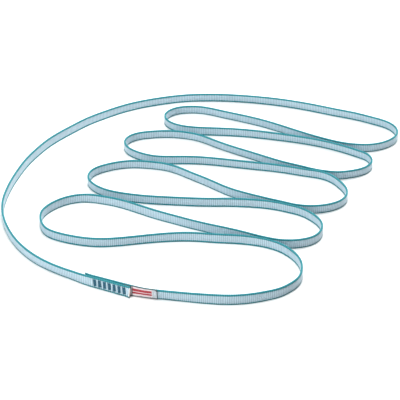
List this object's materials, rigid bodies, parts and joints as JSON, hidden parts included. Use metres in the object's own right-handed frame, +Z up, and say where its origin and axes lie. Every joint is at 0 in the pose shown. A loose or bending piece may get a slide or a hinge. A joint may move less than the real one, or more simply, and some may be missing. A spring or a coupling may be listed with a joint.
{
  "type": "sewn climbing sling",
  "caption": "Closed ring of flat woven webbing, lapped and bartacked at the seam, laid in bights on its edge, with a folded label tab caught in the seam.",
  "frame": {"origin": "middle of the laid-out sling's footprint, on the surface it lies on", "axes": "+Z up, across the width of the webbing, which stands on its edge; +X to the right and +Y to the back of the layout as pictured, along its longer and its shorter side"},
  "size_m": [0.4452, 0.4331, 0.0117],
  "materials": {
    "ground_yarn": "woven, satin",
    "selvedge_yarn": "woven, satin",
    "seam_thread": "bonded sewing thread, matte",
    "label_ribbon": "woven ribbon, satin"
  },
  "bodies": {
    "sling": {"webbing_ground": "ground_yarn", "selvedge_lower": "selvedge_yarn", "selvedge_upper": "selvedge_yarn", "bartack_1_needle_thread": "seam_thread", "bartack_1_bobbin_thread": "seam_thread", "bartack_2_needle_thread": "seam_thread", "bartack_2_bobbin_thread": "seam_thread", "bartack_3_needle_thread": "seam_thread", "bartack_3_bobbin_thread": "seam_thread", "bartack_4_needle_thread": "seam_thread", "bartack_4_bobbin_thread": "seam_thread", "bartack_5_needle_thread": "seam_thread", "bartack_5_bobbin_thread": "seam_thread", "bartack_6_needle_thread": "seam_thread", "bartack_6_bobbin_thread": "seam_thread", "bartack_7_needle_thread": "seam_thread", "bartack_7_bobbin_thread": "seam_thread", "label_root": "label_ribbon"},
    "label": {"label_tab": "label_ribbon"}
  },
  "joints": [
    {"name": "label_flap", "type": "hinge", "parent": "sling", "child": "label", "pos_m": [-0.07601, -0.20119, 0], "axis": [0, 0, -1], "range_deg": [0, 90]}
  ]
}
